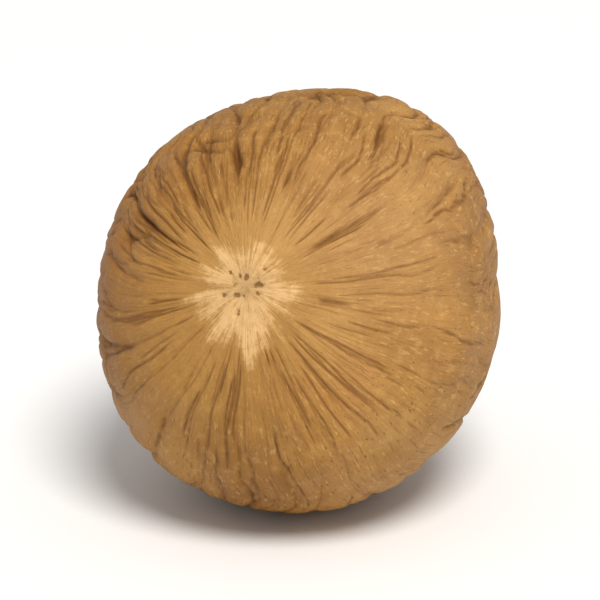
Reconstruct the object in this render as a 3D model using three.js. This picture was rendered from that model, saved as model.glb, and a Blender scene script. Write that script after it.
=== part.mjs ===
// A whole nutmeg: the dried kernel, lying on its side and balanced on a small flat spot.
// Millimetres, +Z up. The broad end, with the hilum, faces -Y. The origin is the middle of the flat spot.

import * as THREE from 'three';

const degree = Math.PI / 180;

// The smooth egg under the wrinkles.
const kernel = {
  length: 26,
  width: 20.9,
  height: 21.5,
  taper: 0.06, // how much fuller than the far end the hilum end is
  bluntness: 0.05, // how much fuller both ends are than an ellipsoid's
  turn: 7 * degree, // its long axis, left of -Y
  rise: 6 * degree, // and above level, as it balances
  centre: [0, 0.31, 10.46],
};

// Broad swellings and dried-in flats: which way they face, the angle they spread over and their height.
const swellings = [
  { name: 'shoulder', facing: [0.62, 0.1, 0.78], spread: 30 * degree, height: 0.9 },
  { name: 'heel', facing: [-0.72, -0.1, -0.6], spread: 24 * degree, height: 0.3 },
  { name: 'crownFlat', facing: [-0.25, 0.1, 0.96], spread: 26 * degree, height: -0.25 },
  { name: 'leftFlat', facing: [-1, -0.1, 0.1], spread: 30 * degree, height: -0.2 },
  { name: 'backFlat', facing: [0.75, 0.65, -0.1], spread: 34 * degree, height: -0.35 },
  { name: 'farBulge', facing: [-0.4, 0.75, 0.45], spread: 30 * degree, height: 0.4 },
];

// The pale scar at the broad end, and the small pit at the far end. All furrows run from one to the other.
const hilum = {
  turn: 13 * degree,
  rise: 21 * degree,
  radius: 2.1,
  height: 0.1,
  pitRadius: 0.63, // the hollow in its middle
  pit: 0.12,
};
const chalaza = { turn: -4 * degree, rise: -3 * degree, radius: 1.3, depth: 0.4 };

// Furrows lie in groups: two in each group at both ends, and three at the waist.
const furrows = {
  groups: 13,
  depth: 0.4,
  halfWidth: 0.44,
  narrowest: 0.4, // share of their width that is left at both ends
  narrowTo: 1.5, // distance from the line between both ends up to which they stay that narrow
  widestFrom: 7.5, // and from which they have their whole width
  sharpness: 1.5, // 2 is a round-bottomed furrow, 1 a sharp one
  lip: 0.08, // height of the ridge beside a furrow, as a share of its depth
  lipPlace: 1.9, // the ridge's distance and width, in half widths
  lipWidth: 0.7,
  mostLips: 1.2, // how high neighbours' ridges add up at the most
  firstStart: 0.19, // where they begin, as an angle from the hilum
  startSpread: 0.1,
  endSpread: 0.3,
  lastEnd: 0.2, // where they end, as an angle from the chalaza
  endFade: 0.12,
  forkFrom: 0.36, // where the third one of a group leaves its neighbour
  forkSpread: 0.45,
  forkLength: 0.65,
  jitter: 0.5, // in lanes
  wander: 0.42, // in lanes
  waves: [[3.3, 0.5], [8.7, 0.3], [17, 0.03]], // what the wander is made of: rate and share of each
  straightTo: 0.85, // they start to wander this far from the hilum
  looseFrom: 1.55, // and wander fully from here
  farLoose: [0.3, 0.8], // the same two angles at the chalaza end
  faintest: 0.4, // their strength: the least, what chance adds, and how it swells along them
  chanceStrength: 0.55,
  swing: [0.15, 0.4],
  beat: [4, 7],
};

// Short slanting furrows that tie neighbours together.
const links = {
  count: 56,
  depth: 0.25,
  halfWidth: 0.75,
  least: 1.2, // the shortest and the longest
  most: 3.2,
  slant: [0.35, 0.85],
  strength: [0.45, 1],
  clear: 0.5, // angle from both ends that they keep
  stretch: 0.9, // millimetres along the kernel for each of its half lengths, as a share
};

// Slow meanders that whole sheaves of furrows share: waves round and along the kernel, size in radians.
const meanders = [
  { around: 2, along: 2.3, size: 0.06, phase: 0.4 },
  { around: 3, along: -5.1, size: 0.035, phase: 2.1 },
  { around: 5, along: 8.3, size: 0.022, phase: 4.4 },
  { around: 7, along: -11.9, size: 0.016, phase: 1.3 },
];
const meanderFade = { hilum: [0.5, 1.4], far: [0.2, 0.9] };

// The raphe is a wider, shallower valley down one side.
const raphe = { around: -0.1, halfWidth: 1, depth: 0.22, hilumFade: [0.2, 0.5], farFade: [0.1, 0.4] };

// Where the wrinkles are faint or strong: 1 is plain, and each zone adds its own share.
const zones = [
  { name: 'smoothCheek', facing: [0.62, -0.72, 0.3], spread: 40 * degree, share: -0.7 },
  { name: 'smoothChin', facing: [0.3, -0.8, -0.45], spread: 34 * degree, share: -0.5 },
  { name: 'deepBrow', facing: [-0.45, -0.45, 0.75], spread: 30 * degree, share: 0.15 },
  { name: 'crown', facing: [0.1, 0.35, 0.95], spread: 35 * degree, share: 0.15 },
  { name: 'rightFlank', facing: [0.9, 0.35, -0.2], spread: 32 * degree, share: 0.15 },
  { name: 'smoothBack', facing: [-0.6, 0.75, 0.25], spread: 30 * degree, share: -0.5 },
  { name: 'smoothTemple', facing: [-0.95, -0.3, 0.05], spread: 28 * degree, share: -0.35 },
  { name: 'deepLeft', facing: [-0.75, 0.6, -0.3], spread: 28 * degree, share: 0.2 },
];

// The flat spot: no wrinkles within its radius, and all of them this much further out.
const rest = { spot: 2, fade: 3.4 };

// The surface is a grid: its columns run with the furrows, four to a lane, and its rows crowd at both ends.
const grid = { columns: 12 * furrows.groups, rows: 38, crowding: 0.1, steps: 14 };

const seed = 20;

// One seeded stream of numbers from 0 to 1.
let randomState = seed;
function draw() {
  randomState = (Math.imul(randomState, 1664525) + 1013904223) >>> 0;
  return randomState / 2 ** 32;
}

function drawFrom([least, most]) {
  return least + (most - least) * draw();
}

function smoothstep(low, high, value) {
  const t = Math.min(Math.max((value - low) / (high - low), 0), 1);
  return t * t * (3 - 2 * t);
}

// A unit vector that looks turn left of -Y and rise above level.
function heading(turn, rise) {
  return new THREE.Vector3(
    -Math.sin(turn) * Math.cos(rise),
    -Math.cos(turn) * Math.cos(rise),
    Math.sin(rise),
  );
}

const forward = heading(kernel.turn, kernel.rise);
const across = new THREE.Vector3(0, 0, 1).cross(forward).negate().normalize();
const upward = forward.clone().cross(across);
const centre = new THREE.Vector3(...kernel.centre);

function falloff(direction, zone) {
  const angle = direction.angleTo(new THREE.Vector3(...zone.facing));
  return Math.exp(-((angle / zone.spread) ** 2));
}

// The egg's own point and outward normal in a direction from its centre.
function eggPoint(direction) {
  const along = direction.dot(forward);
  const side = direction.dot(across);
  const up = direction.dot(upward);
  const fullness = 1 + kernel.taper * along + kernel.bluntness * along ** 2;
  const point = centre.clone()
    .addScaledVector(forward, (kernel.length / 2) * along)
    .addScaledVector(across, (kernel.width / 2) * side * fullness)
    .addScaledVector(upward, (kernel.height / 2) * up * fullness);
  const normal = new THREE.Vector3()
    .addScaledVector(forward, along / kernel.length)
    .addScaledVector(across, side / kernel.width)
    .addScaledVector(upward, up / kernel.height)
    .normalize();
  for (const swelling of swellings) {
    point.addScaledVector(normal, swelling.height * falloff(direction, swelling));
  }
  return { point, normal };
}

// The line from chalaza to hilum that the furrows run round.
const hilumPoint = eggPoint(heading(hilum.turn, hilum.rise)).point;
const chalazaPoint = eggPoint(heading(chalaza.turn, chalaza.rise).negate()).point;
const pole = hilumPoint.clone().sub(chalazaPoint).normalize();
const middle = hilumPoint.clone().add(chalazaPoint).multiplyScalar(0.5);
const right = new THREE.Vector3(1, 0, 0).projectOnPlane(pole).normalize();
const over = pole.clone().cross(right);

const laneCount = 3 * furrows.groups;
const laneWidth = (2 * Math.PI) / laneCount;

// Where each furrow runs: its lane at the hilum end, at the waist and at the far end, and its two ends.
function layFurrows() {
  const laid = [];
  for (let group = 0; group < furrows.groups; group += 1) {
    const fork = furrows.forkFrom + furrows.forkSpread * draw();
    const merge = Math.PI - furrows.forkFrom - furrows.forkSpread * draw();
    const hilumLane = [0.25, 1.75, 1.75];
    const farLane = [0.25, 0.25, 1.75];
    for (let member = 0; member < 3; member += 1) {
      const forksOff = member === 2;
      const joins = member === 1;
      laid.push({
        hilumLane: 3 * group + hilumLane[member],
        waistLane: 3 * group + member + furrows.jitter * (draw() - 0.5),
        farLane: 3 * group + farLane[member],
        fork,
        merge,
        start: forksOff ? fork : furrows.firstStart + furrows.startSpread * (member + draw()),
        end: joins ? merge : Math.PI - furrows.lastEnd - furrows.endSpread * draw(),
        wave: [draw(), draw(), draw()].map((share) => share * 2 * Math.PI),
        strength: furrows.faintest + furrows.chanceStrength * draw() ** 2,
        swing: drawFrom(furrows.swing),
        beat: drawFrom(furrows.beat),
        beatPhase: 2 * Math.PI * draw(),
      });
    }
  }
  return laid;
}

function layLinks() {
  return Array.from({ length: links.count }, () => ({
    along: drawFrom([links.clear, Math.PI - links.clear]),
    around: 2 * Math.PI * draw(),
    length: drawFrom([links.least, links.most]),
    slant: drawFrom(links.slant) * (draw() < 0.5 ? -1 : 1),
    strength: drawFrom(links.strength),
  }));
}

const laidFurrows = layFurrows();
const laidLinks = layLinks();

function wrapAngle(angle) {
  return angle - 2 * Math.PI * Math.round(angle / (2 * Math.PI));
}

// How far a furrow's line lies round the kernel, at an angle along it from the hilum.
function furrowAround(furrow, along) {
  const opened = smoothstep(furrow.fork, furrow.fork + furrows.forkLength, along);
  const closed = smoothstep(furrow.merge - furrows.forkLength, furrow.merge, along);
  let lane = furrow.hilumLane + (furrow.waistLane - furrow.hilumLane) * opened;
  lane += (furrow.farLane - lane) * closed;
  const loose = smoothstep(furrows.straightTo, furrows.looseFrom, along)
    * smoothstep(...furrows.farLoose, Math.PI - along);
  let wander = 0;
  furrows.waves.forEach(([rate, share], index) => {
    wander += share * Math.sin(rate * along + furrow.wave[index]);
  });
  return (lane + furrows.wander * loose * wander) * laneWidth;
}

function furrowStrength(furrow, along) {
  const ends = smoothstep(furrow.start, furrow.start + furrows.endFade, along)
    * smoothstep(0, furrows.endFade, furrow.end - along);
  return ends * (furrow.strength + furrow.swing * Math.sin(furrow.beat * along + furrow.beatPhase));
}

// What is left of the surface at a distance from a groove's middle line: 1 away from it and less inside it.
function kept(distance, halfWidth, strength) {
  const depth = Math.min(Math.max(strength, 0), 1);
  return 1 - depth * Math.exp(-((Math.abs(distance) / halfWidth) ** furrows.sharpness));
}

// How far the meanders push the furrows round the kernel.
function meander(around, along) {
  const loose = smoothstep(...meanderFade.hilum, along) * smoothstep(...meanderFade.far, Math.PI - along);
  let push = 0;
  for (const wave of meanders) {
    push += wave.size * Math.sin(wave.around * around + wave.along * along + wave.phase);
  }
  return loose * push;
}

// The wrinkles' height over the egg at a point on it, before the zones scale it.
function wrinkleHeight(along, around, radius) {
  const flow = around + meander(around, along);
  let left = 1;
  let lips = 0;
  const widening = smoothstep(furrows.narrowTo, furrows.widestFrom, radius);
  const narrowing = furrows.narrowest + (1 - furrows.narrowest) * widening;
  for (const furrow of laidFurrows) {
    const distance = (wrapAngle(flow - furrowAround(furrow, along)) * radius) / narrowing;
    const strength = furrowStrength(furrow, along);
    left *= kept(distance, furrows.halfWidth, strength);
    const beside = (Math.abs(distance) / furrows.halfWidth - furrows.lipPlace) / furrows.lipWidth;
    lips += Math.max(strength, 0) * Math.exp(-(beside ** 2));
  }
  for (const link of laidLinks) {
    const x = wrapAngle(flow - link.around) * radius;
    const y = (along - link.along) * (kernel.length / 2) * links.stretch;
    const nearest = x * Math.sin(link.slant) + y * Math.cos(link.slant);
    const run = THREE.MathUtils.clamp(nearest, -link.length / 2, link.length / 2);
    const distance = Math.hypot(x - run * Math.sin(link.slant), y - run * Math.cos(link.slant));
    left *= kept(distance, links.halfWidth, links.depth * link.strength);
  }
  return furrows.depth * (left - 1 + furrows.lip * Math.min(lips, furrows.mostLips));
}

// The nutmeg's surface in a direction from its centre.
function surfacePoint(direction) {
  const { point, normal } = eggPoint(direction);
  const arm = point.clone().sub(middle);
  const reach = arm.length();
  const along = Math.acos(THREE.MathUtils.clamp(arm.dot(pole) / reach, -1, 1));
  const around = Math.atan2(arm.dot(over), arm.dot(right));
  const radius = reach * Math.sin(along);
  let share = 1;
  for (const zone of zones) {
    share += zone.share * falloff(direction, zone);
  }
  let height = share * wrinkleHeight(along, around, radius);
  const rapheLength = smoothstep(...raphe.hilumFade, along) * smoothstep(...raphe.farFade, Math.PI - along);
  const rapheDistance = wrapAngle(around - raphe.around) * radius;
  height -= raphe.depth * rapheLength * Math.exp(-((rapheDistance / raphe.halfWidth) ** 2));
  const fromHilum = point.distanceTo(hilumPoint);
  height += hilum.height * Math.exp(-((fromHilum / hilum.radius) ** 4));
  height -= hilum.pit * Math.exp(-((fromHilum / hilum.pitRadius) ** 2));
  height -= chalaza.depth * Math.exp(-((point.distanceTo(chalazaPoint) / chalaza.radius) ** 2));
  const fromSpot = Math.hypot(point.x, point.y, point.z);
  height *= smoothstep(rest.spot, rest.spot + rest.fade, fromSpot);
  point.addScaledVector(normal, height);
  point.z = Math.max(point.z, 0);
  return point;
}

// The egg's direction for a place on the grid: its angle from the hilum, and round the kernel with the
// furrows. Each step brings the egg's point closer to the ray that the place stands for.
function gridDirection(along, flow) {
  const around = flow - meander(flow - meander(flow, along), along);
  const ray = pole.clone().multiplyScalar(Math.cos(along))
    .addScaledVector(right, Math.sin(along) * Math.cos(around))
    .addScaledVector(over, Math.sin(along) * Math.sin(around));
  const direction = ray.clone();
  for (let step = 0; step < grid.steps; step += 1) {
    const reached = eggPoint(direction).point.sub(middle).normalize();
    direction.add(ray).sub(reached).normalize();
  }
  return direction;
}

// The surface at a row and column of the grid, or between them. Row 0 is the hilum's middle.
function gridPoint(row, column) {
  const share = row / grid.rows;
  const along = Math.PI * share - grid.crowding * Math.sin(2 * Math.PI * share);
  const flow = (2 * Math.PI * column) / grid.columns;
  return surfacePoint(gridDirection(along, flow));
}

function gapToMiddle(first, second, middlePoint) {
  return first.clone().add(second).multiplyScalar(0.5).distanceTo(middlePoint);
}

// A patch with four corners as two triangles, split along the diagonal that lies closer to the surface.
function splitPatch(points, [a, b, c, d], middlePoint) {
  const one = gapToMiddle(points[a], points[c], middlePoint);
  const other = gapToMiddle(points[b], points[d], middlePoint);
  return one < other ? [a, b, c, a, c, d] : [a, b, d, b, c, d];
}

function makeNutmeg() {
  const points = [gridPoint(0, 0)];
  for (let row = 1; row < grid.rows; row += 1) {
    for (let column = 0; column < grid.columns; column += 1) {
      points.push(gridPoint(row, column));
    }
  }
  points.push(gridPoint(grid.rows, 0));
  const number = (row, column) => 1 + (row - 1) * grid.columns + (column % grid.columns);
  const faces = [];
  for (let column = 0; column < grid.columns; column += 1) {
    const next = column + 1;
    faces.push(0, number(1, column), number(1, next));
    for (let row = 1; row < grid.rows - 1; row += 1) {
      const below = row + 1;
      const corners = [number(row, column), number(below, column), number(below, next), number(row, next)];
      faces.push(...splitPatch(points, corners, gridPoint(row + 0.5, column + 0.5)));
    }
    faces.push(number(grid.rows - 1, column), points.length - 1, number(grid.rows - 1, next));
  }
  const geometry = new THREE.BufferGeometry().setFromPoints(points);
  geometry.setIndex(faces);
  geometry.computeVertexNormals();
  const material = new THREE.MeshStandardMaterial({ color: 0xb0804e, roughness: 0.62, metalness: 0 });
  const nutmeg = new THREE.Mesh(geometry, material);
  nutmeg.name = 'nutmeg';
  return nutmeg;
}

const part = new THREE.Group();
part.add(makeNutmeg());

export default part;
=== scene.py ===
import math

import bmesh
import bpy
import numpy as np
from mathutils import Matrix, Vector, noise


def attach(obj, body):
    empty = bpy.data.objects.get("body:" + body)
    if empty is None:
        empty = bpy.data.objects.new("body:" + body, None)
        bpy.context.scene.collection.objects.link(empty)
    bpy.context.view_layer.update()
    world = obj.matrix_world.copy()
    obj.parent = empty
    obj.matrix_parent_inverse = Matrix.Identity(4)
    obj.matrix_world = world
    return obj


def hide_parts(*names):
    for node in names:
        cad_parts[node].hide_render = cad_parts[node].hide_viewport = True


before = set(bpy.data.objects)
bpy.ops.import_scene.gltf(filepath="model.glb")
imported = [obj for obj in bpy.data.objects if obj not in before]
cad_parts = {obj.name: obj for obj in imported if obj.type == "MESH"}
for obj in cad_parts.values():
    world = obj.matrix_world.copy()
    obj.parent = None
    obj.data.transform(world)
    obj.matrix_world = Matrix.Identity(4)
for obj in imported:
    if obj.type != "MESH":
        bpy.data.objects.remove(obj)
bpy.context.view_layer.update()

# The hilum is the pale scar at the broad end, the chalaza is the dark pit at the other end, and the raphe
# is a shallow valley between them. "along" is the angle from the hilum, from 0 to pi, and "around" is the
# angle round the line that joins both ends, from the right over the top.
# Lengths are in millimetres, and the finished mesh is scaled to metres.
degree = math.pi / 180
fullTurn = 2 * math.pi
mm = 0.001

# The solid's furrows come from the same numbers in the same order, so a draw more or less moves them all.
stream = {"value": 20, "times": 1664525, "plus": 1013904223, "size": 2 ** 32}


def draw():
    stream["value"] = (stream["value"] * stream["times"] + stream["plus"]) % stream["size"]
    return stream["value"] / stream["size"]


def drawFrom(low, high):
    return low + (high - low) * draw()


def unit(vector):
    vector = np.asarray(vector, float)
    return vector / np.linalg.norm(vector, axis=-1, keepdims=True)


# A direction that is turned to the left of -Y and then raised.
def heading(turn, rise):
    return np.array((-math.sin(turn) * math.cos(rise), -math.cos(turn) * math.cos(rise), math.sin(rise)))


def wrapAngle(angle):
    return angle - fullTurn * np.round(angle / fullTurn)


# 0 at the first value and 1 at the second, which may be the smaller one.
def smoothstep(low, high, value):
    t = np.clip((value - low) / (high - low), 0, 1)
    return t * t * (3 - 2 * t)


# 1 in the middle and falling off over its width. Its top is round at a sharpness of 2 and pointed at 1.
def hump(distance, width, sharpness=2):
    return np.exp(-(np.abs(distance) / width) ** sharpness)


# A sum of waves: how many there are in a full turn of the angle, how high they are, and where each starts.
def ripple(angle, waves, starts):
    return sum(size * np.sin(count * angle + start) for (count, size), start in zip(waves, starts))


# 1 between both ends, with a fade by the hilum and one by the chalaza, each from one angle to another.
def betweenEnds(along, fades):
    hilumFade, chalazaFade = fades
    return smoothstep(*hilumFade, along) * smoothstep(*chalazaFade, math.pi - along)


# 1 on a line's own length and 0 off it.
def onLine(along, start, end, fade):
    return smoothstep(start, start + fade, along) * smoothstep(0, fade, end - along)


# 1 where directions point the way that is given, and falling off round it.
def falloff(directions, facing, spread):
    return hump(np.arccos(np.clip(directions @ unit(facing), -1, 1)), spread)


# The bare egg.
kernel = {
    "length": 26.0,
    "width": 20.9,
    "height": 21.5,
    "taper": 0.06,         # how much fuller the hilum end is
    "bluntness": 0.05,     # how much fuller both ends are than an ellipsoid's
    "turn": 7 * degree,    # of its long axis, whose broad end points to -Y
    "rise": 6 * degree,
    "centre": (0, 0.31, 10.46),
    "hilum": (13 * degree, 21 * degree),    # turn and rise
    "chalaza": (-4 * degree, -3 * degree),  # turn and rise of the direction opposite to it
}

# Its swellings and dried-in flats: facing, angle they spread over, height.
swellings = {
    "shoulder": ((0.62, 0.1, 0.78), 30 * degree, 0.9),
    "heel": ((-0.72, -0.1, -0.6), 24 * degree, 0.3),
    "crownFlat": ((-0.25, 0.1, 0.96), 26 * degree, -0.25),
    "leftFlat": ((-1, -0.1, 0.1), 30 * degree, -0.2),
    "backFlat": ((0.75, 0.65, -0.1), 34 * degree, -0.35),
    "farBulge": ((-0.4, 0.75, 0.45), 30 * degree, 0.4),
}

forward = heading(kernel["turn"], kernel["rise"])
across = unit(np.cross(forward, (0, 0, 1)))
upward = np.cross(across, forward)


# Points on the bare egg, and which way it faces there.
def eggSurface(directions):
    ahead = directions @ forward
    side = directions @ across
    up = directions @ upward
    fullness = 1 + kernel["taper"] * ahead + kernel["bluntness"] * ahead ** 2
    points = np.array(kernel["centre"]) + np.outer(kernel["length"] / 2 * ahead, forward)
    points += np.outer(kernel["width"] / 2 * side * fullness, across)
    points += np.outer(kernel["height"] / 2 * up * fullness, upward)
    normals = np.outer(ahead / kernel["length"], forward)
    normals += np.outer(side / kernel["width"], across)
    normals += np.outer(up / kernel["height"], upward)
    normals = unit(normals)
    for facing, spread, height in swellings.values():
        points += normals * (height * falloff(directions, facing, spread))[:, None]
    return points, normals


hilumPoint = eggSurface(heading(*kernel["hilum"])[None])[0][0]
chalazaPoint = eggSurface(-heading(*kernel["chalaza"])[None])[0][0]
middle = (hilumPoint + chalazaPoint) / 2
pole = unit(hilumPoint - chalazaPoint)   # all furrows run round this line
rightward = unit(np.array((1, 0, 0)) - pole * pole[0])
over = np.cross(pole, rightward)

# Slow meanders that whole sheaves of furrows share: waves around, waves along, size in radians, start.
meanders = {
    "fades": ((0.5, 1.4), (0.2, 0.9)),
    "waves": (
        (2, 2.3, 0.06, 0.4),
        (3, -5.1, 0.035, 2.1),
        (5, 8.3, 0.022, 4.4),
        (7, -11.9, 0.016, 1.3),
    ),
}


# How far they push the furrows round the kernel.
def meander(around, along):
    return betweenEnds(along, meanders["fades"]) * sum(
        size * np.sin(wavesAround * around + wavesAlong * along + start)
        for wavesAround, wavesAlong, size, start in meanders["waves"]
    )


# The mesh starts as a ball whose columns of faces run from end to end, like the furrows.
ball = {
    "columns": 530,
    "rows": 184,
    "crowding": 0.15,      # how much closer the rows lie at both ends
    "seam": 1e-5,          # points closer than this are one
    "steps": 14,           # each brings the points closer to their places on the egg
}


def rollBall(name):
    bm = bmesh.new()
    bmesh.ops.create_grid(bm, x_segments=ball["columns"], y_segments=ball["rows"], size=1)
    for corner in bm.verts:
        turn = math.pi * corner.co.x
        tilt = math.pi / 2 * (1 - corner.co.y)
        corner.co = (math.sin(tilt) * math.cos(turn), math.sin(tilt) * math.sin(turn), math.cos(tilt))
    bmesh.ops.remove_doubles(bm, verts=bm.verts[:], dist=ball["seam"])
    mesh = bpy.data.meshes.new(name)
    bm.to_mesh(mesh)
    bm.free()
    return mesh


def cornersOf(mesh):
    corners = np.empty(3 * len(mesh.vertices))
    mesh.vertices.foreach_get("co", corners)
    return unit(corners.reshape(-1, 3))


# The egg's directions for the ball's corners: its top is at the hilum, and its columns follow the furrows.
def followFurrows(corners):
    share = np.arccos(np.clip(corners[:, 2], -1, 1)) / math.pi
    along = math.pi * share - ball["crowding"] * np.sin(fullTurn * share)
    flow = np.arctan2(corners[:, 1], corners[:, 0])
    around = flow - meander(flow - meander(flow, along), along)  # nearly undoes the meander
    rays = np.outer(np.cos(along), pole)
    rays += np.outer(np.sin(along) * np.cos(around), rightward)
    rays += np.outer(np.sin(along) * np.sin(around), over)
    directions = rays
    for step in range(ball["steps"]):
        directions = unit(directions + rays - unit(eggSurface(directions)[0] - middle))
    return directions


# What keeps the surface from looking drawn: size of the noise, how far it moves things, offset of its own.
uneven = {
    "swerve": (2.6, 0.3, 0),       # sideways bend of every line
    "waver": (0.8, 0.09, 40),
    "fading": (3.2, 0.75, 90),     # share by which wrinkles come and go
    "lumps": (2.0, 0.06, 130),     # ups and downs between them
}
fractal = (1, 2, 3)                # dimension, lacunarity and octaves of all four
bends = {
    "fade": (0.35, 1.2),           # no bends this near the hilum, and full ones from the second angle on
    "leastRadius": 1,              # nearer to the pole than this, the angle of a bend grows no further
}


def unevenness(points, name):
    size, amount, offset = uneven[name]
    shift = Vector((offset, 0, 0))
    return amount * np.array([noise.fractal(Vector(point) / size + shift, *fractal) for point in points])


def bend(points, flow, along, radius):
    for name in ("swerve", "waver"):
        sideways = unevenness(points, name) * smoothstep(*bends["fade"], along)
        flow = flow + sideways / np.maximum(radius, bends["leastRadius"])
    return flow


# Furrows come in groups of three. The first runs from end to end, the second runs into it near the chalaza,
# and the third leaves the second near the hilum. A lane is the room that each has at the waist.
furrows = {
    "groups": 13,
    "lanes": ((0.25, 0.25), (1.75, 0.25), (1.75, 1.75)),  # of each one, at the hilum and at the chalaza
    "depth": 0.25,
    "halfWidth": 0.27,
    "narrowest": 0.4,      # share of their width that is left at both ends
    "widens": (1.5, 7.5),  # from the narrowest to the full width, between these distances from the pole
    "sharpness": 1.1,
    "lip": 0.08,           # ridge beside a furrow, as a share of its depth
    "lipPlace": 1.9,       # in half widths
    "lipWidth": 0.7,
    "mostLips": 1.2,       # where those of two furrows meet
    "creaseDepth": 0.1,    # the sharp line at the bottom
    "creaseWidth": 0.13,
    "creaseSharpness": 1.2,
    "start": 0.19,         # angle from the hilum
    "startStep": 0.1,      # the second starts about this much later
    "end": (0.2, 0.5),     # angle from the chalaza
    "fork": (0.36, 0.81),  # angle from the hilum, or from the chalaza where two meet
    "forkLength": 0.65,
    "endFade": 0.12,
    "jitter": 0.5,         # in lanes
    "wander": 0.42,        # in lanes
    "waves": ((3.3, 0.5), (8.7, 0.3), (17, 0.06)),        # of the wandering: how many, how high
    "fades": ((0.85, 1.55), (0.3, 0.8)),                  # of the wandering, by both ends
    "faintest": 0.4,       # strength
    "strongerBy": 0.55,    # at most, and by far less in most of them
    "swing": (0.15, 0.4),  # how much a furrow's strength rises and falls along it
    "beat": (4, 7),        # and how many times in a full turn
}
laneCount = furrows["groups"] * len(furrows["lanes"])


def layFurrows():
    laid = []
    for group in range(furrows["groups"]):
        firstLane = len(furrows["lanes"]) * group
        fork = drawFrom(*furrows["fork"])
        merge = math.pi - drawFrom(*furrows["fork"])
        for member, (hilumLane, farLane) in enumerate(furrows["lanes"]):
            waistLane = member + furrows["jitter"] * drawFrom(-0.5, 0.5)
            start = fork if member == 2 else furrows["start"] + furrows["startStep"] * (member + draw())
            end = merge if member == 1 else math.pi - drawFrom(*furrows["end"])
            laid.append({
                "hilumLane": firstLane + hilumLane,
                "waistLane": firstLane + waistLane,
                "farLane": firstLane + farLane,
                "fork": fork,
                "merge": merge,
                "start": start,
                "end": end,
                "waveStarts": [fullTurn * draw() for wave in furrows["waves"]],
                "strength": furrows["faintest"] + furrows["strongerBy"] * draw() ** 2,
                "swing": drawFrom(*furrows["swing"]),
                "beat": drawFrom(*furrows["beat"]),
                "beatStart": fullTurn * draw(),
            })
    return laid


def furrowAround(furrow, along):
    opened = smoothstep(furrow["fork"], furrow["fork"] + furrows["forkLength"], along)
    closed = smoothstep(furrow["merge"] - furrows["forkLength"], furrow["merge"], along)
    lane = furrow["hilumLane"] + (furrow["waistLane"] - furrow["hilumLane"]) * opened
    lane += (furrow["farLane"] - lane) * closed
    wander = betweenEnds(along, furrows["fades"]) * ripple(along, furrows["waves"], furrow["waveStarts"])
    return (lane + furrows["wander"] * wander) * fullTurn / laneCount


def furrowStrength(furrow, along):
    strength = furrow["strength"] + furrow["swing"] * np.sin(furrow["beat"] * along + furrow["beatStart"])
    return strength * onLine(along, furrow["start"], furrow["end"], furrows["endFade"])


# Share of its full width that a line has at a distance from the pole.
def narrowed(radius):
    return furrows["narrowest"] + (1 - furrows["narrowest"]) * smoothstep(*furrows["widens"], radius)


# Short slanting furrows that tie the long ones together.
links = {
    "count": 56,
    "clear": 0.5,              # angle at both ends where none has its middle
    "length": (1.2, 3.2),
    "slant": (0.35, 0.85),     # angle to the long ones, to either side
    "strength": (0.315, 0.7),
    "halfWidth": 0.34,
    "bow": 0.9,                # millimetres along the skin for a radian, in half kernel lengths
}


def layLinks():
    return [{
        "along": drawFrom(links["clear"], math.pi - links["clear"]),
        "around": fullTurn * draw(),
        "length": drawFrom(*links["length"]),
        "slant": drawFrom(*links["slant"]) * (-1 if draw() < 0.5 else 1),
        "strength": drawFrom(*links["strength"]),
    } for link in range(links["count"])]


def linkDistance(link, at):
    x = wrapAngle(at["bent"] - link["around"]) * at["radius"]
    y = (at["along"] - link["along"]) * kernel["length"] / 2 * links["bow"]
    runX, runY = math.sin(link["slant"]), math.cos(link["slant"])
    run = np.clip(x * runX + y * runY, -link["length"] / 2, link["length"] / 2)
    return np.hypot(x - run * runX, y - run * runY)


# What a groove leaves of the surface: 1 away from its middle line and less inside it.
def kept(distance, halfWidth, strength, sharpness):
    return 1 - np.clip(strength, 0, 1) * hump(distance, halfWidth, sharpness)


# What furrows and links leave of the surface, what their creases leave of it, and the lips beside furrows.
def layWrinkles(at):
    left = np.ones_like(at["along"])
    creased = np.ones_like(at["along"])
    lips = np.zeros_like(at["along"])
    narrow = narrowed(at["radius"])
    for furrow in layFurrows():
        distance = wrapAngle(at["bent"] - furrowAround(furrow, at["along"])) * at["radius"] / narrow
        strength = furrowStrength(furrow, at["along"])
        left *= kept(distance, furrows["halfWidth"], strength, furrows["sharpness"])
        creased *= kept(distance, furrows["creaseWidth"], strength, furrows["creaseSharpness"])
        beside = np.abs(distance) / furrows["halfWidth"] - furrows["lipPlace"]
        lips += np.maximum(strength, 0) * hump(beside, furrows["lipWidth"])
    for link in layLinks():
        distance = linkDistance(link, at)
        left *= kept(distance, links["halfWidth"], link["strength"], furrows["sharpness"])
        creased *= kept(distance, furrows["creaseWidth"], link["strength"], furrows["creaseSharpness"])
    return {"left": left, "creased": creased, "lips": lips}


# Hair-thin lines: rays that leave the scar, and others that start anywhere.
fineLines = {
    "rays": 110,
    "scattered": 420,
    "rayStart": (0.16, 0.32),          # angle from the hilum
    "scatterStart": (0.16, 2.86),
    "length": (1.5, 8.0),
    "perRadian": 12,                   # millimetres
    "endFade": 0.1,
    "depth": 0.13,
    "strength": (0.3, 1),              # shares of that depth
    "halfWidth": 0.085,
    "sharpness": 1.3,
    "waves": ((4, 0.02), (19, 0.008)), # how many, how high
    "everywhere": 0.4,                 # share of their depth that even a smooth zone has
}


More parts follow.
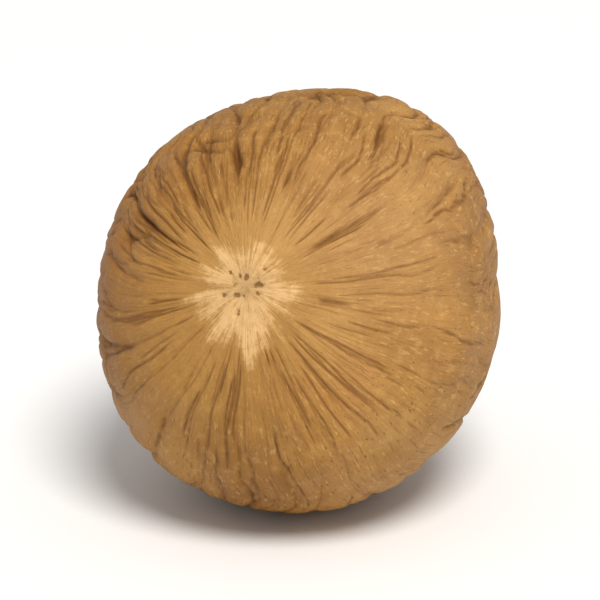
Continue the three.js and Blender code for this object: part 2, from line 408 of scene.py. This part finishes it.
def layFineLines(at):
    depths = np.zeros_like(at["along"])
    narrow = narrowed(at["radius"])
    for number in range(fineLines["rays"] + fineLines["scattered"]):
        start = drawFrom(*fineLines["rayStart" if number < fineLines["rays"] else "scatterStart"])
        end = start + drawFrom(*fineLines["length"]) / fineLines["perRadian"]
        place = fullTurn * draw()
        wander = ripple(at["along"], fineLines["waves"], [fullTurn * draw() for wave in fineLines["waves"]])
        depth = fineLines["depth"] * drawFrom(*fineLines["strength"])
        distance = wrapAngle(at["bent"] - place - wander) * at["radius"] / narrow
        line = onLine(at["along"], start, end, fineLines["endFade"])
        line = depth * line * hump(distance, fineLines["halfWidth"], fineLines["sharpness"])
        depths = np.maximum(depths, line)
    return depths


# Where wrinkles are fainter or stronger: facing, angle they spread over, share added to 1.
zones = {
    "smoothCheek": ((0.62, -0.72, 0.3), 40 * degree, -0.7),
    "smoothChin": ((0.3, -0.8, -0.45), 34 * degree, -0.5),
    "deepBrow": ((-0.45, -0.45, 0.75), 30 * degree, 0.15),
    "crown": ((0.1, 0.35, 0.95), 35 * degree, 0.15),
    "rightFlank": ((0.9, 0.35, -0.2), 32 * degree, 0.15),
    "smoothBack": ((-0.6, 0.75, 0.25), 30 * degree, -0.5),
    "smoothTemple": ((-0.95, -0.3, 0.05), 28 * degree, -0.35),
    "deepLeft": ((-0.75, 0.6, -0.3), 28 * degree, 0.2),
}
fadingRange = (0.2, 1.6)  # least and most that the noise leaves of them


def wrinkleShare(points, directions):
    share = 1 + sum(gain * falloff(directions, facing, spread) for facing, spread, gain in zones.values())
    return share * np.clip(1 + unevenness(points, "fading"), *fadingRange)


# The scar's pale ragged star.
star = {
    "height": 0.1,
    "radius": 1.45,
    "waves": ((2, 0.16), (5, 0.08)),   # of its outline: how many, shares of the radius
    "starts": (0.3 - 90 * degree, 2),  # of those waves
    "lopsided": 0.22,                  # share by which it reaches further one way
    "lopsidedArms": 0.65,              # the same for its arms
    "lopsidedTo": -115 * degree,       # angle of that way
    "arms": 19,
    "armJitter": 0.5,                  # share of the way to the next arm
    "armLength": (0.1, 1.0),
    "armWidth": (0.07, 0.15),          # in radians
    "fade": (2.0, -0.8),               # it begins this far outside its outline and is full this far in
}


# 1 on the star and 0 past its arms.
def starShape(at):
    edge = star["radius"] * (1 + ripple(at["around"], star["waves"], star["starts"]))
    edge += star["radius"] * star["lopsided"] * np.cos(at["around"] - star["lopsidedTo"])
    for arm in range(star["arms"]):
        heads = fullTurn * (arm + star["armJitter"] * draw()) / star["arms"]
        length = drawFrom(*star["armLength"])
        length *= 1 + star["lopsidedArms"] * math.cos(heads - star["lopsidedTo"])
        edge += length * hump(wrapAngle(at["around"] - heads), drawFrom(*star["armWidth"]))
    return smoothstep(*star["fade"], at["fromHilum"] - edge)


# Small pits in the star: a ring of them and a few strays.
pits = {
    "ringed": 9,
    "stray": 5,
    "jitter": 0.7,             # share of the way to the next pit
    "ring": (0.435, 0.725),    # distance from the middle
    "strayOut": (0.184, 0.92), # added to it
    "strayTurn": 1.7,          # their angles are this many times as large, so they follow no ring
    "radius": (0.096, 0.208),
    "depth": 0.16,
    "fade": (4, 3),            # none this far from the hilum, and all of them within this
}


def pitShape(at, points):
    shape = np.zeros(len(points))
    right = (points - hilumPoint) @ rightward
    up = (points - hilumPoint) @ over
    for pit in range(pits["ringed"] + pits["stray"]):
        heads = fullTurn * (pit + pits["jitter"] * draw()) / pits["ringed"]
        out = drawFrom(*pits["ring"])
        if pit >= pits["ringed"]:
            out += drawFrom(*pits["strayOut"])
            heads *= pits["strayTurn"]
        distance = np.hypot(right - out * math.cos(heads), up - out * math.sin(heads))
        shape = np.maximum(shape, hump(distance, drawFrom(*pits["radius"])))
    return shape * smoothstep(*pits["fade"], at["fromHilum"])


raphe = {
    "around": -0.1,
    "halfWidth": 1.0,
    "depth": 0.22,
    "fades": ((0.2, 0.5), (0.1, 0.4)),
}


def rapheShape(at):
    distance = wrapAngle(at["around"] - raphe["around"]) * at["radius"]
    return betweenEnds(at["along"], raphe["fades"]) * hump(distance, raphe["halfWidth"])


# A short dark cut where the raphe leaves the scar.
slit = {
    "around": -0.17,
    "halfWidth": 0.17,
    "depth": 0.18,
    "darkness": 0.65,
    "opens": (0.23, 0.3),      # angles from the hilum
    "closes": (0.46, 0.36),
}


def slitShape(at):
    distance = wrapAngle(at["around"] - slit["around"]) * at["radius"]
    length = smoothstep(*slit["opens"], at["along"]) * smoothstep(*slit["closes"], at["along"])
    return length * hump(distance, slit["halfWidth"])


# The pit at the far end, with a raised rim and paler skin round it.
chalaza = {
    "radius": 1.3,
    "depth": 0.4,
    "darkRadius": 0.75,
    "rimRadius": 1.9,
    "rimWidth": 0.7,
    "rimHeight": 0.12,
    "patch": (3.5, 1.7),               # the paler skin begins here and is full here
    "waves": ((2, 0.12), (5, 0.07)),   # what makes it uneven: how many, shares of the distance
    "starts": (1, 0),
}


def chalazaHeight(at):
    rim = hump(at["fromChalaza"] - chalaza["rimRadius"], chalaza["rimWidth"])
    return chalaza["rimHeight"] * rim - chalaza["depth"] * hump(at["fromChalaza"], chalaza["radius"])


def distanceFrom(points, place):
    return np.linalg.norm(points - place, axis=1)


# Where points of the egg lie, in the terms that furrows and marks are laid out in.
def findPlaces(points):
    arms = points - middle
    reach = np.linalg.norm(arms, axis=1)
    along = np.arccos(np.clip(arms @ pole / reach, -1, 1))
    around = np.arctan2(arms @ over, arms @ rightward)
    radius = reach * np.sin(along)
    flow = around + meander(around, along)
    unevenly = 1 + ripple(around, chalaza["waves"], chalaza["starts"])
    return {
        "along": along,
        "around": around,
        "radius": radius,                           # distance from the pole
        "flow": flow,                               # the angle round, with the meanders taken out
        "bent": bend(points, flow, along, radius),  # and with the swerves taken out too
        "fromHilum": distanceFrom(points, hilumPoint),
        "fromChalaza": distanceFrom(points, chalazaPoint) * unevenly,
    }


rest = {"spot": 2.0, "fade": 3.4}  # no wrinkles on the flat spot, and all of them this much further out


# How far the skin lies outside the bare egg.
def reliefHeight(relief, at, points):
    share = relief["share"]
    lips = furrows["lip"] * np.minimum(relief["lips"], furrows["mostLips"])
    height = share * furrows["depth"] * (relief["left"] - 1 + lips)
    height += share * furrows["creaseDepth"] * (relief["creased"] - 1)
    height -= (fineLines["everywhere"] + (1 - fineLines["everywhere"]) * share) * relief["fine"]
    height += unevenness(points, "lumps")
    height -= raphe["depth"] * rapheShape(at)
    height -= slit["depth"] * relief["slit"]
    height += star["height"] * relief["star"] - pits["depth"] * relief["pits"]
    height += chalazaHeight(at)
    return height * smoothstep(rest["spot"], rest["spot"] + rest["fade"], distanceFrom(points, (0, 0, 0)))


scarHaloAndPaintedLight = {"radius": 5.2, "shift": (-1.7, 0, -2.3)}  # paler skin round the scar, partly painted light that leans to the lower left, and its middle from the hilum

# Wide painted light and shade on the skin: facing, angle they spread over.
paintedLightAndShade = {
    # Painted highlight: a paler tone on the upper right front, where the light falls.
    "paintedHighlight": ((0.41, -0.73, 0.54), 32 * degree),
    # Painted shade: a darker, browner tone on the left flank.
    "paintedLeftShade": ((-0.96, -0.25, 0.2), 38 * degree),
}
grainScale = (10.5, 10.5, 12.0)  # of the patterns that follow the furrows: round the kernel twice, along it


# What the skin's colours follow.
def skinValues(relief, at, directions, points):
    creased = (1 - relief["creased"]) * relief["share"] + slit["darkness"] * relief["slit"]
    rolled = (np.cos(at["flow"]), np.sin(at["flow"]), at["along"])
    values = {
        "grain": np.stack(rolled, axis=1) * grainScale,
        "furrow": np.clip((1 - relief["left"]) * relief["share"], 0, 1),
        "crease": np.clip(creased, 0, 1),
        "fineLine": relief["fine"] / fineLines["depth"],
        "star": relief["star"],
        "pits": relief["pits"],
        "scarHaloAndPaintedLight": hump(distanceFrom(points, hilumPoint + scarHaloAndPaintedLight["shift"]), scarHaloAndPaintedLight["radius"]),
        "farPatch": smoothstep(*chalaza["patch"], at["fromChalaza"]),
        "farPit": hump(at["fromChalaza"], chalaza["darkRadius"]),
    }
    # Where the painted highlight and the painted shade lie, by which way the skin faces.
    for name, (facing, spread) in paintedLightAndShade.items():
        values[name] = falloff(directions, facing, spread)
    return values


def addValues(mesh, name, values):
    kind, field = ("FLOAT_VECTOR", "vector") if values.ndim == 2 else ("FLOAT", "value")
    attribute = mesh.attributes.new(name, kind, "POINT")
    attribute.data.foreach_set(field, np.ascontiguousarray(values, np.float32).ravel())


def makeNutmeg():
    mesh = rollBall("nutmegKernel")
    directions = followFurrows(cornersOf(mesh))
    points, normals = eggSurface(directions)
    print("egg:", len(points), "points")

    # The order of these lines is the order of the draws.
    at = findPlaces(points)
    relief = layWrinkles(at)
    relief["fine"] = layFineLines(at)
    relief["star"] = starShape(at)
    relief["pits"] = pitShape(at, points)
    relief["slit"] = slitShape(at)
    relief["share"] = wrinkleShare(points, directions)
    print("wrinkles:", laneCount, "furrows,", links["count"], "links")

    points += normals * reliefHeight(relief, at, points)[:, None]
    points[:, 2] = np.maximum(points[:, 2], 0)
    mesh.vertices.foreach_set("co", (points * mm).ravel())
    mesh.polygons.foreach_set("use_smooth", np.ones(len(mesh.polygons), bool))
    for name, values in skinValues(relief, at, directions, points).items():
        addValues(mesh, name, values)
    mesh.update()

    nutmeg = bpy.data.objects.new("nutmegKernel", mesh)
    bpy.context.scene.collection.objects.link(nutmeg)
    nutmeg.data.materials.append(nutmegSkin())
    return nutmeg


# A colour as a picture editor gives it, 0 to 255, turned into linear light.
def tone(red, green, blue):
    def linear(value):
        share = value / 255
        return share / 12.92 if share <= 0.04045 else ((share + 0.055) / 1.055) ** 2.4
    return (linear(red), linear(green), linear(blue), 1)


tones = {
    "tan": tone(161, 114, 50),
    "paleTan": tone(178, 133, 69),
    "deepTan": tone(142, 96, 36),
    "rosyTan": tone(162, 109, 54),
    "furrowBrown": tone(99, 59, 16),
    "hairBrown": tone(108, 65, 20),
    "dust": tone(196, 156, 92),
    # Painted highlight: the paler tone laid where the light falls.
    "paintedHighlight": tone(186, 145, 99),
    # Painted shade: the darker tone laid on the left flank.
    "paintedLeftShade": tone(134, 84, 30),
    "cream": tone(218, 176, 119),
    "pitBrown": tone(115, 75, 32),
}

# Noise patterns. Those with a stretch follow the furrows and are drawn out along them, and the others lie
# in the object's own space. Those with a swing give ups and downs between its two values.
patterns = {
    "blotches": {"scale": 190, "detail": 5, "roughness": 0.6},
    "paleBlotches": {"scale": 120, "detail": 4},
    "rosyBlotches": {"scale": 150, "detail": 3, "distortion": 0.6},
    "streaks": {"scale": 1.9, "stretch": 0.12, "detail": 6, "roughness": 0.7},
    "hairs": {"scale": 5, "stretch": 0.1, "detail": 4, "roughness": 0.7},
    "specks": {"scale": 8, "stretch": 0.35, "detail": 1},
    "dashes": {"scale": 6.1, "stretch": 0.3, "detail": 1},
    "powder": {"scale": 1500, "detail": 4, "roughness": 0.75},
    "rays": {"scale": 1.6, "stretch": 0.2, "detail": 5, "roughness": 0.7, "swing": (-0.35, 0.35)},
    "crumbs": {"scale": 1900, "detail": 4, "roughness": 0.75, "swing": (-0.25, 0.25)},
    "flecks": {"scale": 2300, "swing": (-0.3, 0.3)},
    "farRays": {"scale": 2, "stretch": 0.3, "detail": 4, "swing": (-0.4, 0.4)},
    "gloss": {"scale": 400, "swing": (-0.06, 0.08)},
    "fibres": {"scale": 3.4, "stretch": 0.13, "detail": 5, "roughness": 0.65},
    "pores": {"scale": 2400, "detail": 3, "roughness": 0.6},
}
noiseRange = (0.3, 0.7)  # nearly all of a noise texture's values lie here

# Layers of colour over the deep tan, from the bottom up. Each is on a pattern or on one of the mesh's
# values, which other patterns may fray. It goes from nothing at its first level to its share at the second,
# or in step with the value where it has no levels. "within" keeps it to where the unfrayed value is high.
layers = (
    {"on": "blotches", "levels": (0.36, 0.64), "share": 1, "tone": "tan"},
    {"on": "paleBlotches", "levels": (0.5, 0.68), "share": 0.7, "tone": "paleTan"},
    {"on": "rosyBlotches", "levels": (0.56, 0.7), "share": 0.5, "tone": "rosyTan"},
    {"on": "streaks", "levels": (0.53, 0.68), "share": 0.2, "tone": "furrowBrown"},
    {"on": "streaks", "levels": (0.47, 0.34), "share": 0.34, "tone": "paleTan"},
    {"on": "hairs", "levels": (0.57, 0.64), "share": 0.5, "tone": "hairBrown"},
    {"on": "specks", "levels": (0.67, 0.72), "share": 0.65, "tone": "furrowBrown"},
    {"on": "dashes", "levels": (0.63, 0.7), "share": 0.5, "tone": "dust"},
    {"on": "powder", "levels": (0.5, 0.72), "share": 0.35, "tone": "dust"},
    # Painted highlight on the upper right front, where the light falls.
    {"on": "paintedHighlight", "share": 0.34, "tone": "paintedHighlight"},
    # Painted shade on the left flank.
    {"on": "paintedLeftShade", "share": 0.66, "tone": "paintedLeftShade"},
    # Pale skin round the scar, partly painted light, as its middle lies lower left of the scar.
    {"on": "scarHaloAndPaintedLight", "share": 0.55, "tone": "paleTan"},
    {"on": "furrow", "levels": (0.25, 0.95), "share": 0.42, "tone": "furrowBrown"},
    {"on": "crease", "levels": (0.2, 0.8), "share": 0.75, "tone": "furrowBrown"},
    {"on": "fineLine", "levels": (0.1, 0.8), "share": 0.75, "tone": "hairBrown"},
    {"on": "star", "levels": (0.02, 0.7), "share": 0.5, "tone": "paleTan"},
    {"on": "star", "frayedBy": ("rays", "crumbs"), "levels": (0.25, 1.05), "within": (0.05, 0.55),
     "share": 0.95, "tone": "cream"},
    {"on": "pits", "frayedBy": ("flecks",), "levels": (0.35, 0.7), "share": 0.75, "tone": "pitBrown"},
    {"on": "farPatch", "frayedBy": ("farRays",), "levels": (0.3, 1.1), "share": 0.6, "tone": "dust"},
    {"on": "farPit", "frayedBy": ("flecks",), "levels": (0.3, 1), "share": 0.85, "tone": "furrowBrown"},
)

skin = {
    "roughness": 0.6,
    "furrowRoughness": 0.15,   # added in furrows
    "specular": 0.25,
    "bumpStrength": 0.8,
    "bumpDepth": 0.22,
    "fibres": 0.65,            # shares of the bump
    "pores": 0.35,
}


def nutmegSkin():
    material = bpy.data.materials.new("nutmegSkin")
    material.use_nodes = True
    tree = material.node_tree
    shader = tree.nodes["Principled BSDF"]

    def add(kind, **settings):
        node = tree.nodes.new("ShaderNode" + kind)
        for name, value in settings.items():
            setattr(node, name, value)
        return node

    def plug(value, socket):
        if isinstance(value, bpy.types.NodeSocket):
            tree.links.new(value, socket)
        else:
            socket.default_value = value

    def stored(name, output="Fac"):
        return add("Attribute", attribute_name=name).outputs[output]

    def sums(kind, first, second):
        node = add("Math", operation=kind)
        plug(first, node.inputs[0])
        plug(second, node.inputs[1])
        return node.outputs[0]

    def spread(value, levels, ends):
        ranged = add("MapRange", interpolation_type="SMOOTHSTEP")
        plug(value, ranged.inputs["Value"])
        for name, number in zip(("From Min", "From Max", "To Min", "To Max"), (*levels, *ends)):
            plug(number, ranged.inputs[name])
        return ranged.outputs["Result"]

    def blend(share, first, second):
        mix = add("Mix", data_type="RGBA")
        for name, value in (("Factor", share), ("A", first), ("B", second)):
            plug(value, mix.inputs[name])
        return mix.outputs["Result"]

    objectPlaces = add("TexCoord").outputs["Object"]
    grain = stored("grain", "Vector")

    def drawnOut(stretch):
        mapping = add("Mapping")
        plug(grain, mapping.inputs["Vector"])
        plug((1, 1, stretch), mapping.inputs["Scale"])
        return mapping.outputs["Vector"]

    def noisy(scale, stretch=None, detail=2, roughness=0.5, distortion=0, swing=None):
        texture = add("TexNoise")
        plug(drawnOut(stretch) if stretch else objectPlaces, texture.inputs["Vector"])
        plug(scale, texture.inputs["Scale"])
        plug(detail, texture.inputs["Detail"])
        plug(roughness, texture.inputs["Roughness"])
        plug(distortion, texture.inputs["Distortion"])
        value = texture.outputs["Fac"]
        return spread(value, noiseRange, swing) if swing else value

    made = {name: noisy(**settings) for name, settings in patterns.items()}

    colour = tones["deepTan"]
    for layer in layers:
        plain = made[layer["on"]] if layer["on"] in made else stored(layer["on"])
        amount = plain
        for fray in layer.get("frayedBy", ()):
            amount = sums("ADD", amount, made[fray])
        if "levels" in layer:
            amount = spread(amount, layer["levels"], (0, layer["share"]))
        else:
            amount = sums("MULTIPLY", amount, layer["share"])
        if "within" in layer:
            amount = sums("MULTIPLY", amount, spread(plain, layer["within"], (0, 1)))
        colour = blend(amount, colour, tones[layer["tone"]])
    plug(colour, shader.inputs["Base Color"])

    dullness = sums("ADD", made["gloss"], spread(stored("furrow"), (0, 1), (0, skin["furrowRoughness"])))
    plug(sums("ADD", dullness, skin["roughness"]), shader.inputs["Roughness"])
    shader.inputs["Specular IOR Level"].default_value = skin["specular"]

    fibres = sums("MULTIPLY", made["fibres"], skin["fibres"])
    pores = sums("MULTIPLY", made["pores"], skin["pores"])
    bump = add("Bump")
    plug(skin["bumpStrength"], bump.inputs["Strength"])
    plug(skin["bumpDepth"] * mm, bump.inputs["Distance"])
    plug(sums("ADD", fibres, pores), bump.inputs["Height"])
    plug(bump.outputs["Normal"], shader.inputs["Normal"])
    print("skin:", len(layers), "layers")
    return material


# The room is in metres.
studio = {
    "cameraTurn": 0 * degree,      # to the left of -Y
    "cameraRise": 18 * degree,
    "lens": 250,
    "sensor": 36,
    "clipStart": 0.01,
    "frameWidth": 31.0,            # that the frame spans at the nutmeg, in millimetres
    "lookAt": (0, 0, 10.4),        # in millimetres
    "floorColour": (0.8, 0.797, 0.79, 1),
    "floorRoughness": 0.9,
    "floorSize": 0.9,              # from the middle to an edge
    "domeRadius": 0.8,
    "skyLight": 0.55,
    "keyPlace": (0.3, -1.15, 1.62),
    "keyTarget": (0, 0, 0.01),
    "keySize": 0.8,
    "keyPower": 42.5,
    "keyColour": (1, 0.98, 0.95),
}
white = (1, 1, 1, 1)
black = (0, 0, 0, 1)


def plainMaterial(name, inputs):
    material = bpy.data.materials.new(name)
    material.use_nodes = True
    shader = material.node_tree.nodes["Principled BSDF"]
    for socket, value in inputs.items():
        shader.inputs[socket].default_value = value
    return material


def standing(name, bm, material):
    mesh = bpy.data.meshes.new(name)
    bm.to_mesh(mesh)
    bm.free()
    item = bpy.data.objects.new(name, mesh)
    bpy.context.scene.collection.objects.link(item)
    mesh.materials.append(material)
    return item


def makeFloor():
    material = plainMaterial("paleFloor", {
        "Base Color": studio["floorColour"],
        "Roughness": studio["floorRoughness"],
    })
    bm = bmesh.new()
    bmesh.ops.create_grid(bm, x_segments=8, y_segments=8, size=studio["floorSize"])
    standing("paleFloor", bm, material)


# A white room that shows behind the nutmeg and neither lights it nor shades it.
def makeDome():
    material = plainMaterial("whiteRoom", {
        "Base Color": black,
        "Emission Color": white,
        "Emission Strength": 1,
    })
    bm = bmesh.new()
    bmesh.ops.create_icosphere(bm, subdivisions=3, radius=studio["domeRadius"])
    bmesh.ops.reverse_faces(bm, faces=bm.faces[:])
    dome = standing("whiteRoom", bm, material)
    for kind in ("diffuse", "glossy", "transmission", "volume_scatter", "shadow"):
        setattr(dome, "visible_" + kind, False)


def aim(item, place, target):
    item.location = place
    item.rotation_euler = (Vector(target) - Vector(place)).to_track_quat("-Z", "Y").to_euler()


def makeLight():
    world = bpy.data.worlds.new("softRoom")
    bpy.context.scene.world = world
    world.use_nodes = True
    background = world.node_tree.nodes["Background"]
    background.inputs["Color"].default_value = white
    background.inputs["Strength"].default_value = studio["skyLight"]
    lamp = bpy.data.lights.new("key", "AREA")
    lamp.shape = "DISK"
    lamp.size = studio["keySize"]
    lamp.energy = studio["keyPower"]
    lamp.color = studio["keyColour"]
    key = bpy.data.objects.new("key", lamp)
    bpy.context.scene.collection.objects.link(key)
    aim(key, studio["keyPlace"], studio["keyTarget"])


def makeCamera():
    scene = bpy.context.scene
    camera = bpy.data.objects.new("camera", bpy.data.cameras.new("camera"))
    scene.collection.objects.link(camera)
    camera.data.lens = studio["lens"]
    camera.data.sensor_width = studio["sensor"]
    camera.data.clip_start = studio["clipStart"]
    distance = studio["frameWidth"] * mm * studio["lens"] / studio["sensor"]
    target = Vector(studio["lookAt"]) * mm
    back = Vector(heading(studio["cameraTurn"], studio["cameraRise"]))
    aim(camera, target + back * distance, target)
    scene.camera = camera
    scene.view_settings.view_transform = "Standard"


nutmeg = makeNutmeg()
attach(nutmeg, "root")
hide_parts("nutmeg")
print("nutmeg:", len(nutmeg.data.polygons), "faces")
makeFloor()
makeDome()
makeLight()
makeCamera()
print("studio ready")
